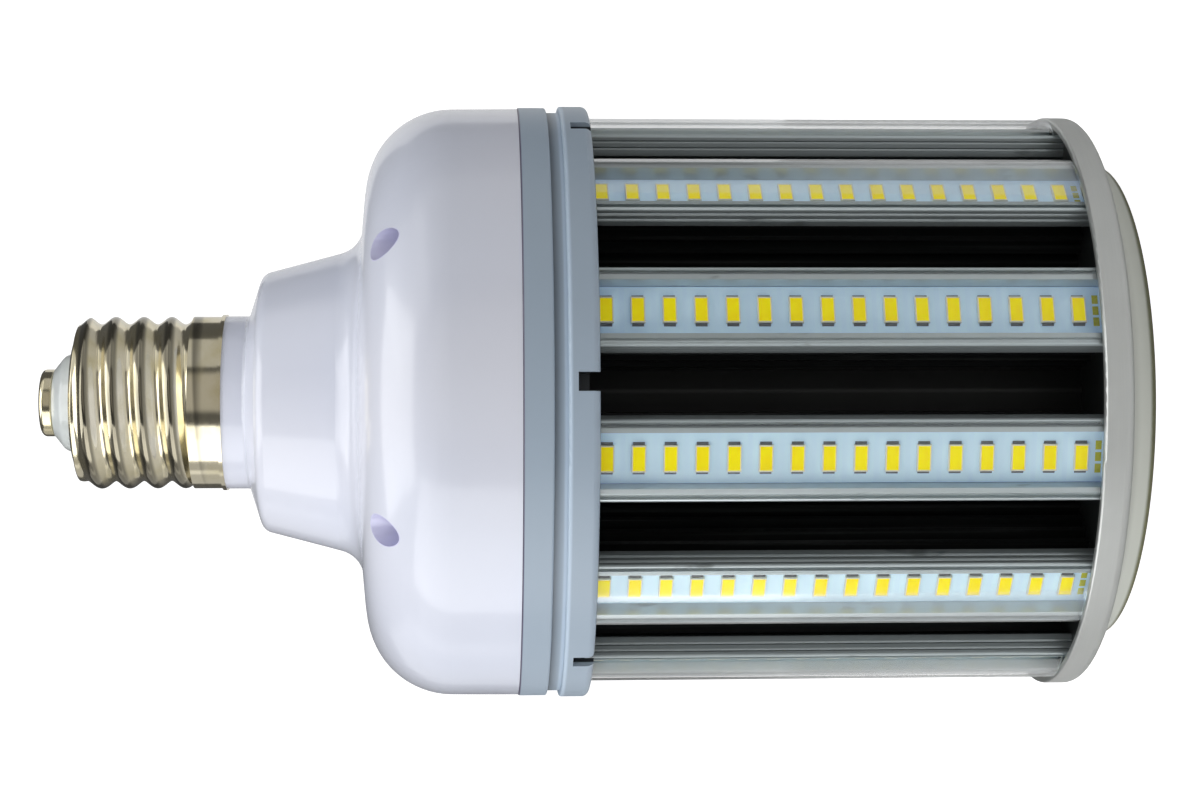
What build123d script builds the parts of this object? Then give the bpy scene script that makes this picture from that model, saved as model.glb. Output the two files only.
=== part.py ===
"""A high-power LED retrofit lamp with a large screw cap.

Twelve extruded aluminium bars stand round a twelve-sided core tube. Each bar
carries a circuit board with sixteen LEDs under a clear arched strip. A plate
with a flat translucent cover closes one end. At the other end a notched flange
and a base ring carry a moulded driver housing, and the housing's neck holds
the screw cap.

The lamp stands on the flat face of its end cover, with its axis along +Z and
the cap on top. The origin is the centre of that face. Sizes are in millimetres.
"""
from build123d import *
import os

# Lengths along the axis, in the order in which they stack up from the floor
COVER_RISE = 7.4
END_RING_HEIGHT = 6.6
BAR_EXPOSED = 105.4
FLANGE_HEIGHT = 6.6
GROOVE_HEIGHT = 2.9
BASE_RING_HEIGHT = 6.5
SHOULDER_HEIGHT = 32.4
SHOULDER_RISE = 3.1
HUB_HEIGHT = 22.3
HUB_FACE_RISE = 3.2
NECK_HEIGHT = 5.3
SHELL_HEIGHT = 34.6
INSULATOR_RISE = 4.5
EYELET_HEIGHT = 3.1

# The end ring's radius, and the steps from piece to piece that give the others
END_RING_RADIUS = 65.7
COVER_STEP = 10.95
RAIL_STEP = 3.1
FLANGE_STEP = 2.2
GROOVE_STEP = 1.4
BASE_RING_STEP = 0.3
SKIRT_STEP = 0.25

# Outer radii towards the cap
HUB_FOOT_RADIUS = 35.5
HUB_TOP_RADIUS = 29.55
NECK_RADIUS = 19.83
EYELET_RADIUS = 7.7

# Wall and plate thicknesses
COVER_WALL = 1.8
END_RING_WALL = 1.4
END_WEB = 2.6
WEB_RECESS = 2.0
FLANGE_WALL = 2.0
FLANGE_POCKET = 2.0
BASE_WALL = 3.0
BASE_FLOOR = 2.4
HOUSING_WALL = 2.2
SHELL_WALL = 0.5
CORE_WALL = 2.2

# Edge roundings
COVER_EDGE = 1.4
END_RING_EDGE = 1.9
FLANGE_EDGE = 1.5
RING_EDGE = 0.5
SHOULDER_ROUND = 19.5
HUB_FOOT_ROUND = 7.0
HUB_TOP_ROUND = 3.0
NECK_FOOT_ROUND = 0.8
EYELET_EDGE = 1.2
EYELET_FOOT_EDGE = 0.6

# The skirt leans in a little towards the cap, as a moulding does
SKIRT_DRAFT = 0.3

# Bars, boards and LEDs round the axis
BAR_COUNT = 12
LED_COUNT = 16
FIRST_LED = 3.6
LAST_LED = 1.66
LED_WIDTH = 5.7
LED_LENGTH = 3.0
LED_THICKNESS = 0.8
BOARD_DEPTH = 2.85
BOARD_THICKNESS = 1.6
BOARD_WIDTH = 10.8
BOARD_END_GAP = 0.4
CHANNEL_CLEARANCE = 0.1

# Section of a bar: half widths across it, depths below the rail tops and gaps along the stem
BAR_HALF_WIDTH = 8.8
RAIL_SLOPE = 0.5
RAIL_CORNER = 0.25
BAR_SIDE_DEPTH = 4.6
SIDE_GROOVE_DEPTH = 0.35
SIDE_GROOVE_PITCH = 1.5
PLATE_THICKNESS = 2.4
STEM_HALF_WIDTH = 1.3
STEM_ROOT_HALF_WIDTH = 2.6
FIN_COUNT = 4
FIN_THICKNESS = 1.0
FIN_HALF_WIDTH = 5.9
FIRST_FIN_GAP = 3.25
LAST_FIN_GAP = 3.4
FOOT_HALF_WIDTH = 5.0
FOOT_THICKNESS = 2.0
PORT_RADIUS = 2.6

# Clear strip over each board
LENS_SLOT_OFFSET = 0.6
LENS_SLOT_DEPTH = 0.8
LENS_WALL = 0.9
LENS_SIDE = 0.9
LENS_ARCH = 2.9
LENS_SLOT_CLEARANCE = 0.08
LENS_END_GAP = 0.3

# Core tube
CORE_APOTHEM = 36.0
CORE_CORNER = 2.0

# Flange notches, on the gaps between bars
NOTCH_COUNT = 6
NOTCH_WIDTH = 4.0
NOTCH_LENGTH = 4.6
NOTCH_DEPTH = 8.0
NOTCH_ANGLE = 45.0
FLANGE_HOLE_RADIUS = 30.0

# Screws that hold the housing down, at the foot of deep wells in the shoulder
WELL_COUNT = 6
WELL_ANGLE = 15.0
WELL_INSET = 6.95
WELL_RADIUS = 3.4
WELL_WALL = 1.4
WELL_FOOT = 5.6
WELL_FLOOR = 2.0
POST_RADIUS = 3.8
SCREW_RADIUS = 1.5
SCREW_HEAD_RADIUS = 2.9
SCREW_HEAD_HEIGHT = 2.0
SCREW_GRIP = 8.0
SCREW_CLEARANCE = 0.2
PILOT_CLEARANCE = 0.03
PILOT_END_GAP = 1.0

# Seat between the base ring and the housing
LIP_HEIGHT = 4.0
LIP_CLEARANCE = 0.15
LIP_STEP = 1.5

# Screw cap
COLLAR_RADIUS = 19.75
COLLAR_HEIGHT = 7.5
SHELL_LIP_RADIUS = 20.2
SHELL_LIP_HEIGHT = 0.9
THREAD_PITCH = 6.35
THREAD_CREST_RADIUS = 19.65
THREAD_ROOT_RADIUS = 17.95
THREAD_HALF_WIDTH = 2.95
THREAD_SINK = 0.3
THREAD_START = 6.2
THREAD_TURNS = 4.8
QUARTER_TURN = 90.0
NOSE_LENGTH = 6.8
NOSE_FLAT_RADIUS = 13.0
MOUTH_RADIUS = 11.8
MOUTH_CLEARANCE = 0.1
SPIGOT_HEIGHT = 6.5
SPIGOT_CLEARANCE = 0.1
INSULATOR_TOP_RADIUS = 7.9
INSULATOR_FLANGE = 3.0
INSULATOR_FLANGE_RADIUS = 12.8
INSULATOR_BULGE = 0.9
INSULATOR_EDGE = 0.5
INSULATOR_ROUND = 2.5
RIVET_RADIUS = 2.4
RIVET_LENGTH = 4.0
RIVET_CLEARANCE = 0.05

# Board under the end cover, inside the ring of screws that hold the bars
HEAD_SCREW_GAP = 1.25
HEAD_BOARD_GAP = 1.4
HEAD_LED_INSETS = (5.5, 17.5)
HEAD_LED_COUNTS = (24, 12)
WEB_HOLE_RADIUS = 8.0
LEAD_RADIUS = 1.4

# Driver on its board
DRIVER_BOARD_RADIUS = 49.0
DRIVER_BOARD_RISE = 5.0
STANDOFF_CIRCLE = 44.0
STANDOFF_RADIUS = 3.0
STANDOFF_COUNT = 4
TRANSFORMER_WIDTH = 32.0
TRANSFORMER_HEIGHT = 24.0
CORE_DEPTH = 13.0
WINDING_DEPTH = 26.0
WINDING_ROUND = 3.0
TRANSFORMER_PLACE = (-14.0, 6.0)
CORE_LIMB = 6.0
WINDING_CLEARANCE = 0.3
CAPACITOR_RADIUS = 8.0
CAPACITOR_HEIGHT = 26.0
CAPACITOR_PLACES = ((24.0, 16.0), (24.0, -3.0))
CHOKE_OUTER = 11.0
CHOKE_INNER = 5.0
CHOKE_HEIGHT = 9.0
CHOKE_PLACE = (14.0, -30.0)
SINK_LENGTH = 40.0
SINK_THICKNESS = 3.0
SINK_HEIGHT = 18.0
SINK_PLACE = (-10.0, -16.0)
TRANSISTOR_SIZE = (10.0, 4.5, 15.0)
TRANSISTOR_OFFSETS = (-10.0, 10.0)
LIVE_LEAD_PLACE = (8.0, 0.0)
LIVE_LEAD_RADIUS = 1.1
LIVE_LEAD_BEND = 40.0

# Heights of the faces where the pieces meet
Z_RING = COVER_RISE
Z_BARS = Z_RING + END_RING_HEIGHT
Z_WEB = Z_BARS - WEB_RECESS
Z_FLANGE = Z_BARS + BAR_EXPOSED
Z_SOCKET = Z_FLANGE + FLANGE_POCKET
Z_BASE = Z_FLANGE + FLANGE_HEIGHT
Z_BASE_RING = Z_BASE + GROOVE_HEIGHT
Z_HOUSING = Z_BASE_RING + BASE_RING_HEIGHT
Z_SHOULDER = Z_HOUSING + SHOULDER_HEIGHT
Z_HUB_FOOT = Z_SHOULDER + SHOULDER_RISE
Z_HUB_TOP = Z_HUB_FOOT + HUB_HEIGHT
Z_NECK = Z_HUB_TOP + HUB_FACE_RISE
Z_SHELL = Z_NECK + NECK_HEIGHT
Z_NOSE = Z_SHELL + SHELL_HEIGHT
Z_EYELET = Z_NOSE + INSULATOR_RISE
Z_TOP = Z_EYELET + EYELET_HEIGHT
Z_DRIVER_BOARD = Z_BASE + BASE_FLOOR + DRIVER_BOARD_RISE
Z_DRIVER_TOP = Z_DRIVER_BOARD + BOARD_THICKNESS

# Radii that follow from the end ring's
COVER_RADIUS = END_RING_RADIUS - COVER_STEP
RAIL_TOP_RADIUS = END_RING_RADIUS - RAIL_STEP
FLANGE_RADIUS = END_RING_RADIUS + FLANGE_STEP
GROOVE_RADIUS = FLANGE_RADIUS - GROOVE_STEP
BASE_RING_RADIUS = FLANGE_RADIUS - BASE_RING_STEP
SKIRT_RADIUS = BASE_RING_RADIUS - SKIRT_STEP
WELL_CIRCLE = SKIRT_RADIUS - WELL_INSET
BOARD_FACE_RADIUS = RAIL_TOP_RADIUS - BOARD_DEPTH
BOARD_BACK_RADIUS = BOARD_FACE_RADIUS - BOARD_THICKNESS

# The fins share the space between a bar's plate and its foot
PLATE_FOOT_RADIUS = BOARD_BACK_RADIUS - PLATE_THICKNESS
FOOT_TOP_RADIUS = CORE_APOTHEM + FOOT_THICKNESS
FIRST_FIN_RADIUS = PLATE_FOOT_RADIUS - FIRST_FIN_GAP
FIN_PITCH = (FIRST_FIN_RADIUS - FOOT_TOP_RADIUS - LAST_FIN_GAP) / (FIN_COUNT - 1)

# The screws' heads lie inside the cover's wall, and the board inside the screws
COVER_INNER_RADIUS = COVER_RADIUS - COVER_WALL
PORT_CIRCLE = COVER_INNER_RADIUS - HEAD_SCREW_GAP - SCREW_HEAD_RADIUS
HEAD_BOARD_RADIUS = PORT_CIRCLE - SCREW_HEAD_RADIUS - HEAD_BOARD_GAP

# Other sizes that follow from the ones above
BAR_BOTTOM = Z_WEB
BAR_LENGTH = Z_SOCKET - BAR_BOTTOM
CHANNEL_HALF_WIDTH = BOARD_WIDTH / 2 + CHANNEL_CLEARANCE
BASE_INNER_RADIUS = BASE_RING_RADIUS - BASE_WALL - LIP_STEP
HOUSING_INNER_RADIUS = SKIRT_RADIUS - HOUSING_WALL
SHELL_BORE = COLLAR_RADIUS - SHELL_WALL
BAR_STEP = 360 / BAR_COUNT
LED_PITCH = (BAR_EXPOSED - FIRST_LED - LAST_LED) / (LED_COUNT - 1)


def round_z(z, radius, height):
    """A plain cylinder on the axis, from z upwards."""
    return Pos(0, 0, z) * Cylinder(radius, height, align=(Align.CENTER, Align.CENTER, Align.MIN))


def turned(points, roundings=()):
    """A solid of revolution from (radius, height) points; roundings are (point number, radius)."""
    outline = Polyline(*[(r, 0, z) for r, z in points], close=True)
    face = make_face(outline.edges())
    for number, radius in roundings:
        r, z = points[number]
        corner = face.vertices().sort_by_distance((r, 0, z))[0]
        face = fillet(corner, radius)
    return revolve(face, axis=Axis.Z)


def around(count, start):
    """Placements turned about the axis, evenly spaced."""
    return [Rot(0, 0, start + 360 / count * i) for i in range(count)]


def mirrored_outline(half):
    """A closed outline in the XY plane from one side's (radius, half width) points."""
    other = [(x, -y) for x, y in reversed(half) if y > 0]
    return make_face(Polyline(*half, *other, close=True).edges())


def bar_section():
    """Channel for the board between two rails, and a finned stem down to the core."""
    rail = RAIL_TOP_RADIUS
    slot_in = BAR_HALF_WIDTH - LENS_SLOT_OFFSET
    slot_out = slot_in - LENS_WALL - 2 * LENS_SLOT_CLEARANCE
    side_foot = rail - BAR_SIDE_DEPTH
    half = [(BOARD_BACK_RADIUS, 0), (BOARD_BACK_RADIUS, CHANNEL_HALF_WIDTH)]
    half += [(BOARD_FACE_RADIUS, CHANNEL_HALF_WIDTH), (rail, CHANNEL_HALF_WIDTH + RAIL_SLOPE)]
    half += [(rail, slot_out), (rail - LENS_SLOT_DEPTH, slot_out)]
    half += [(rail - LENS_SLOT_DEPTH, slot_in), (rail, slot_in), (rail, BAR_HALF_WIDTH - RAIL_CORNER)]
    half += [(rail - RAIL_CORNER, BAR_HALF_WIDTH)]
    for groove in (1, 2):
        middle = rail - groove * SIDE_GROOVE_PITCH
        half += [(middle + SIDE_GROOVE_DEPTH, BAR_HALF_WIDTH)]
        half += [(middle, BAR_HALF_WIDTH - SIDE_GROOVE_DEPTH)]
        half += [(middle - SIDE_GROOVE_DEPTH, BAR_HALF_WIDTH)]
    half += [(side_foot, BAR_HALF_WIDTH), (PLATE_FOOT_RADIUS, STEM_ROOT_HALF_WIDTH)]
    half += [(PLATE_FOOT_RADIUS, STEM_HALF_WIDTH)]
    for fin in range(FIN_COUNT):
        top = FIRST_FIN_RADIUS - fin * FIN_PITCH + FIN_THICKNESS / 2
        half += [(top, STEM_HALF_WIDTH), (top, FIN_HALF_WIDTH)]
        half += [(top - FIN_THICKNESS, FIN_HALF_WIDTH), (top - FIN_THICKNESS, STEM_HALF_WIDTH)]
    half += [(FOOT_TOP_RADIUS, STEM_HALF_WIDTH), (FOOT_TOP_RADIUS, FOOT_HALF_WIDTH)]
    half += [(CORE_APOTHEM, FOOT_HALF_WIDTH), (CORE_APOTHEM, 0)]
    section = mirrored_outline(half)
    port = Pos(PORT_CIRCLE, 0) * Circle(PORT_RADIUS)
    hole = Pos(PORT_CIRCLE, 0) * Circle(SCREW_RADIUS + PILOT_CLEARANCE)
    return section + port - hole


def led_bar():
    """One extruded heat-sink bar, standing on the end web and reaching into the flange."""
    return Pos(0, 0, BAR_BOTTOM) * extrude(bar_section(), BAR_LENGTH)


def led_box(thickness):
    """An LED package lying in the XY plane with its length along Y, on z = 0."""
    return Box(LED_LENGTH, LED_WIDTH, thickness, align=(Align.CENTER, Align.CENTER, Align.MIN))


def led_board():
    """A board in its channel, with its soldered LEDs."""
    length = BAR_LENGTH - 2 * BOARD_END_GAP
    low = (Align.MAX, Align.CENTER, Align.MIN)
    board = Box(BOARD_THICKNESS, BOARD_WIDTH, length, align=low)
    board = Pos(BOARD_FACE_RADIUS, 0, BAR_BOTTOM + BOARD_END_GAP) * board
    upright = Rot(0, 90, 0)
    leds = []
    for i in range(LED_COUNT):
        height = Z_BARS + FIRST_LED + i * LED_PITCH
        leds.append(Pos(BOARD_FACE_RADIUS, 0, height) * upright * led_box(LED_THICKNESS))
    return board + leds


def lens_strip():
    """The clear arched strip, with its two feet in the slots of the rails."""
    foot = RAIL_TOP_RADIUS - LENS_SLOT_DEPTH
    spring = RAIL_TOP_RADIUS + LENS_SIDE - LENS_SLOT_CLEARANCE
    outer = BAR_HALF_WIDTH - LENS_SLOT_OFFSET - LENS_SLOT_CLEARANCE
    inner = outer - LENS_WALL
    crown = spring + LENS_ARCH - LENS_SIDE
    over = ThreePointArc((spring, outer), (crown, 0), (spring, -outer))
    under = ThreePointArc((spring, -inner), (crown - LENS_WALL, 0), (spring, inner))
    right = Polyline((spring, -outer), (foot, -outer), (foot, -inner), (spring, -inner))
    left = Polyline((spring, inner), (foot, inner), (foot, outer), (spring, outer))
    section = make_face(over.edges() + right.edges() + under.edges() + left.edges())
    bottom = Z_BARS + LENS_END_GAP
    return Pos(0, 0, bottom) * extrude(section, Z_SOCKET - bottom)


def core_tube():
    """The twelve-sided tube that the bars stand against, one flat to each bar."""
    outside = RegularPolygon(CORE_APOTHEM, BAR_COUNT, major_radius=False, rotation=BAR_STEP / 2)
    outside = fillet(outside.vertices(), CORE_CORNER)
    section = outside - Circle(CORE_APOTHEM - CORE_WALL)
    return Pos(0, 0, BAR_BOTTOM) * extrude(section, BAR_LENGTH)


def screw(head_z, direction, grip):
    """A pan-head screw under its head face at head_z, with its shank towards direction."""
    head = round_z(0, SCREW_HEAD_RADIUS, SCREW_HEAD_HEIGHT)
    shank = Cylinder(SCREW_RADIUS, grip, align=(Align.CENTER, Align.CENTER, Align.MAX))
    whole = head + shank
    if direction > 0:
        whole = Rot(180, 0, 0) * whole
    return Pos(0, 0, head_z) * whole


def end_ring():
    """The end plate: a rim round the bars' ends, a web behind the board and the cover's seat."""
    rim_in = END_RING_RADIUS - END_RING_WALL
    seat = COVER_RADIUS + MOUTH_CLEARANCE
    web_front = Z_WEB - END_WEB
    points = [(WEB_HOLE_RADIUS, web_front), (seat, web_front), (seat, Z_RING), (END_RING_RADIUS, Z_RING)]
    points += [(END_RING_RADIUS, Z_BARS), (rim_in, Z_BARS), (rim_in, Z_WEB), (WEB_HOLE_RADIUS, Z_WEB)]
    ring = turned(points, ((3, END_RING_EDGE), (4, RING_EDGE)))
    hole = Pos(PORT_CIRCLE, 0, 0) * round_z(web_front, SCREW_RADIUS + SCREW_CLEARANCE, END_WEB)
    return ring - [turn * hole for turn in around(BAR_COUNT, 0)]


def end_cover():
    """The shallow translucent cup, seated on the web inside the end ring."""
    top = Z_WEB - END_WEB
    inside = COVER_INNER_RADIUS
    points = [(0, 0), (COVER_RADIUS, 0), (COVER_RADIUS, top), (inside, top), (inside, COVER_WALL), (0, COVER_WALL)]
    return turned(points, ((1, COVER_EDGE),))


def head_board():
    """The round board under the cover, with its LEDs in two rings."""
    top = Z_WEB - END_WEB
    board = round_z(top - BOARD_THICKNESS, HEAD_BOARD_RADIUS, BOARD_THICKNESS)
    leds = []
    for inset, count in zip(HEAD_LED_INSETS, HEAD_LED_COUNTS):
        radius = HEAD_BOARD_RADIUS - inset
        package = Pos(radius, 0, top - BOARD_THICKNESS - LED_THICKNESS) * led_box(LED_THICKNESS)
        leds += [turn * package for turn in around(count, 0)]
    return board + leds


def head_screws():
    """One screw through the end web into each bar."""
    one = Pos(PORT_CIRCLE, 0, 0) * screw(Z_WEB - END_WEB, 1, SCREW_GRIP)
    return Compound([turn * one for turn in around(BAR_COUNT, 0)])


def flange_ring():
    """The notched flange over the bars' other ends."""
    rim_in = FLANGE_RADIUS - FLANGE_WALL
    points = [(FLANGE_HOLE_RADIUS, Z_SOCKET), (rim_in, Z_SOCKET), (rim_in, Z_FLANGE), (FLANGE_RADIUS, Z_FLANGE)]
    points += [(FLANGE_RADIUS, Z_BASE), (FLANGE_HOLE_RADIUS, Z_BASE)]
    ring = turned(points, ((3, FLANGE_EDGE), (4, RING_EDGE)))
    cut = Box(NOTCH_DEPTH, NOTCH_WIDTH, NOTCH_LENGTH, align=(Align.MAX, Align.CENTER, Align.MIN))
    cut = Pos(FLANGE_RADIUS, 0, Z_FLANGE) * cut
    return ring - [turn * cut for turn in around(NOTCH_COUNT, NOTCH_ANGLE)]


def driver_base():
    """The base ring with its floor, locating lip, screw posts and board standoffs."""
    floor = Z_BASE + BASE_FLOOR
    post_top = Z_HOUSING + WELL_FOOT
    lip_out = HOUSING_INNER_RADIUS - LIP_CLEARANCE
    lip_top = Z_HOUSING + LIP_HEIGHT
    points = [(FLANGE_HOLE_RADIUS, Z_BASE), (GROOVE_RADIUS, Z_BASE), (GROOVE_RADIUS, Z_BASE_RING)]
    points += [(BASE_RING_RADIUS, Z_BASE_RING), (BASE_RING_RADIUS, Z_HOUSING), (lip_out, Z_HOUSING)]
    points += [(lip_out, lip_top), (BASE_INNER_RADIUS, lip_top)]
    points += [(BASE_INNER_RADIUS, floor), (FLANGE_HOLE_RADIUS, floor)]
    base = turned(points, ((3, RING_EDGE), (4, RING_EDGE)))
    post = Pos(WELL_CIRCLE, 0, 0) * round_z(floor, POST_RADIUS, post_top - floor)
    pilot_depth = SCREW_GRIP - WELL_FLOOR + PILOT_END_GAP
    pilot = round_z(post_top - pilot_depth, SCREW_RADIUS + PILOT_CLEARANCE, pilot_depth)
    pilot = Pos(WELL_CIRCLE, 0, 0) * pilot
    standoff = Pos(STANDOFF_CIRCLE, 0, 0) * round_z(floor, STANDOFF_RADIUS, DRIVER_BOARD_RISE)
    base += [turn * post for turn in around(WELL_COUNT, WELL_ANGLE)]
    base += [turn * standoff for turn in around(STANDOFF_COUNT, 0)]
    return base - [turn * pilot for turn in around(WELL_COUNT, WELL_ANGLE)]


def housing_body(inset):
    """The housing's outer form, or its cavity when inset by the wall."""
    low = Z_HOUSING
    skirt_top = SKIRT_RADIUS - SKIRT_DRAFT - inset
    points = [(0, low), (SKIRT_RADIUS - inset, low), (skirt_top, Z_SHOULDER - inset)]
    points += [(HUB_FOOT_RADIUS - inset, Z_HUB_FOOT - inset), (HUB_TOP_RADIUS - inset, Z_HUB_TOP - inset)]
    points += [(NECK_RADIUS - inset, Z_NECK - inset)]
    rounds = [(2, SHOULDER_ROUND - inset), (3, HUB_FOOT_ROUND + inset), (4, HUB_TOP_ROUND - inset)]
    neck_end = Z_SHELL
    spigot = SHELL_BORE - SPIGOT_CLEARANCE
    if inset:
        points += [(spigot - inset, Z_NECK), (spigot - inset, neck_end + SPIGOT_HEIGHT)]
    else:
        points += [(NECK_RADIUS, neck_end), (spigot, neck_end), (spigot, neck_end + SPIGOT_HEIGHT)]
        rounds += [(5, NECK_FOOT_ROUND)]
    points += [(0, neck_end + SPIGOT_HEIGHT)]
    return turned(points, rounds)


def driver_housing():
    """The moulded housing: domed shoulder, hub and neck, with deep screw wells."""
    outside = housing_body(0)
    well_foot = Z_HOUSING + WELL_FOOT
    reach = Z_HUB_FOOT - well_foot
    tube = Pos(WELL_CIRCLE, 0, 0) * round_z(well_foot, WELL_RADIUS + WELL_WALL, reach)
    bore = Pos(WELL_CIRCLE, 0, 0) * round_z(well_foot + WELL_FLOOR, WELL_RADIUS, reach)
    passage = Pos(WELL_CIRCLE, 0, 0) * round_z(well_foot, SCREW_RADIUS + SCREW_CLEARANCE, WELL_FLOOR)
    turns = around(WELL_COUNT, WELL_ANGLE)
    cavity = housing_body(HOUSING_WALL) - [turn * tube for turn in turns]
    housing = outside - cavity
    return housing - [turn * (bore + passage) for turn in turns]


def housing_screws():
    """The screws at the foot of the wells."""
    one = Pos(WELL_CIRCLE, 0, 0) * screw(Z_HOUSING + WELL_FOOT + WELL_FLOOR, -1, SCREW_GRIP)
    return Compound([turn * one for turn in around(WELL_COUNT, WELL_ANGLE)])


def cap_form(inset):
    """The cap's outer form with its rolled thread, or the inside of its thin wall."""
    root = THREAD_ROOT_RADIUS - inset
    wide = COLLAR_RADIUS - inset
    nose = Z_NOSE - NOSE_LENGTH
    tip = Z_NOSE - inset
    half = THREAD_HALF_WIDTH
    inner = root - THREAD_SINK
    path = Helix(pitch=THREAD_PITCH, height=THREAD_PITCH * THREAD_TURNS, radius=inner)
    along = (0, 0, 1)
    crest = (THREAD_CREST_RADIUS - inset, 0, 0)
    hump = Spline((inner, 0, -half), crest, (inner, 0, half), tangents=(along, along))
    base = Line((inner, 0, half), (inner, 0, -half))
    ridge = sweep(make_face(hump.edges() + base.edges()), path=path, is_frenet=True)
    threaded = round_z(Z_SHELL, root, SHELL_HEIGHT + NOSE_LENGTH) + Pos(0, 0, Z_SHELL + THREAD_START) * ridge
    arch = EllipticalCenterArc((NOSE_FLAT_RADIUS, nose), wide - NOSE_FLAT_RADIUS, tip - nose, arc_size=QUARTER_TURN)
    sides = Polyline((0, 0, Z_SHELL), (wide, 0, Z_SHELL), (wide, 0, nose))
    end = Polyline((NOSE_FLAT_RADIUS, 0, tip), (0, 0, tip), (0, 0, Z_SHELL))
    outline = make_face(sides.edges() + (Plane.XZ * arch).edges() + end.edges())
    return (threaded & revolve(outline, axis=Axis.Z)) + round_z(Z_SHELL, wide, COLLAR_HEIGHT - inset)


def screw_shell():
    """The plated shell of the cap, rolled from thin sheet."""
    lip = round_z(Z_SHELL, SHELL_LIP_RADIUS, SHELL_LIP_HEIGHT)
    shell = cap_form(0) + lip - cap_form(SHELL_WALL)
    return shell - round_z(Z_NOSE - 2 * SHELL_WALL, MOUTH_RADIUS, 4 * SHELL_WALL)


def cap_insulator():
    """The glassy cone between the shell and the contact, flanged behind the shell's mouth."""
    under = Z_NOSE - SHELL_WALL
    throat = MOUTH_RADIUS - MOUTH_CLEARANCE
    hole = RIVET_RADIUS + RIVET_CLEARANCE
    low = under - INSULATOR_FLANGE
    points = [(hole, low), (INSULATOR_FLANGE_RADIUS, low), (INSULATOR_FLANGE_RADIUS, under), (throat, under)]
    middle = (throat + INSULATOR_TOP_RADIUS) / 2 + INSULATOR_BULGE
    points += [(throat, Z_NOSE), (middle, (Z_NOSE + Z_EYELET) / 2)]
    points += [(INSULATOR_TOP_RADIUS, Z_EYELET), (hole, Z_EYELET)]
    return turned(points, ((4, INSULATOR_EDGE), (5, INSULATOR_ROUND)))


def eyelet_contact():
    """The centre contact with its rivet through the insulator."""
    points = [(0, Z_EYELET - RIVET_LENGTH), (RIVET_RADIUS, Z_EYELET - RIVET_LENGTH), (RIVET_RADIUS, Z_EYELET)]
    points += [(EYELET_RADIUS, Z_EYELET), (EYELET_RADIUS, Z_TOP), (0, Z_TOP)]
    return turned(points, ((3, EYELET_FOOT_EDGE), (4, EYELET_EDGE)))


def driver_board():
    """The driver's round board on its standoffs."""
    return round_z(Z_DRIVER_BOARD, DRIVER_BOARD_RADIUS, BOARD_THICKNESS)


def transformer_core():
    """The transformer's square ferrite frame, standing on the board."""
    x, y = TRANSFORMER_PLACE
    up = (Align.CENTER, Align.CENTER, Align.MIN)
    frame = Box(TRANSFORMER_WIDTH, CORE_DEPTH, TRANSFORMER_HEIGHT, align=up)
    opening = (TRANSFORMER_WIDTH - 3 * CORE_LIMB) / 2
    window = Box(opening, CORE_DEPTH, TRANSFORMER_HEIGHT - 2 * CORE_LIMB, align=up)
    shift = (CORE_LIMB + opening) / 2
    windows = [Pos(side * shift, 0, CORE_LIMB) * window for side in (-1, 1)]
    return Pos(x, y, Z_DRIVER_TOP) * (frame - windows)


def transformer_winding():
    """The taped winding round the middle limb."""
    x, y = TRANSFORMER_PLACE
    gap = WINDING_CLEARANCE
    up = (Align.CENTER, Align.CENTER, Align.MIN)
    coil_height = TRANSFORMER_HEIGHT - 2 * CORE_LIMB - 2 * gap
    coil = Box(TRANSFORMER_WIDTH - 2 * CORE_LIMB - 2 * gap, WINDING_DEPTH, coil_height, align=up)
    limb = Box(CORE_LIMB + 2 * gap, CORE_DEPTH + 2 * gap, coil_height, align=up)
    coil = fillet(coil.edges().filter_by(Axis.Z), WINDING_ROUND)
    return Pos(x, y, Z_DRIVER_TOP + CORE_LIMB + gap) * (coil - limb)


def capacitors():
    """The electrolytic capacitors."""
    can = round_z(Z_DRIVER_TOP, CAPACITOR_RADIUS, CAPACITOR_HEIGHT)
    return Compound([Pos(x, y, 0) * can for x, y in CAPACITOR_PLACES])


def choke():
    """The ring choke, lying on the board."""
    x, y = CHOKE_PLACE
    ring = round_z(Z_DRIVER_TOP, CHOKE_OUTER, CHOKE_HEIGHT) - round_z(Z_DRIVER_TOP, CHOKE_INNER, CHOKE_HEIGHT)
    return Pos(x, y, 0) * ring


def transistor_sink():
    """The upright plate that cools the transistors."""
    x, y = SINK_PLACE
    plate = Box(SINK_LENGTH, SINK_THICKNESS, SINK_HEIGHT, align=(Align.CENTER, Align.CENTER, Align.MIN))
    return Pos(x, y, Z_DRIVER_TOP) * plate


def transistors():
    """The transistors against the plate."""
    x, y = SINK_PLACE
    width, depth, height = TRANSISTOR_SIZE
    body = Box(width, depth, height, align=(Align.CENTER, Align.MAX, Align.MIN))
    face = y - SINK_THICKNESS / 2
    return Compound([Pos(x + offset, face, Z_DRIVER_TOP) * body for offset in TRANSISTOR_OFFSETS])


def live_lead():
    """The lead from the driver board to the centre contact, with one gentle bend each way."""
    x, y = LIVE_LEAD_PLACE
    end = Z_EYELET - RIVET_LENGTH
    middle = (Z_DRIVER_TOP + Z_NECK) / 2
    points = [(x, y, Z_DRIVER_TOP), (x, y, middle), (0, 0, Z_NECK), (0, 0, end)]
    path = FilletPolyline(*points, radius=LIVE_LEAD_BEND)
    section = Plane(origin=points[0], z_dir=(0, 0, 1)) * Circle(LIVE_LEAD_RADIUS)
    return sweep(section, path=path)


def head_lead():
    """The lead down the core to the board under the end cover."""
    low = Z_WEB - END_WEB
    return round_z(low, LEAD_RADIUS, Z_DRIVER_BOARD - low)


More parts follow.
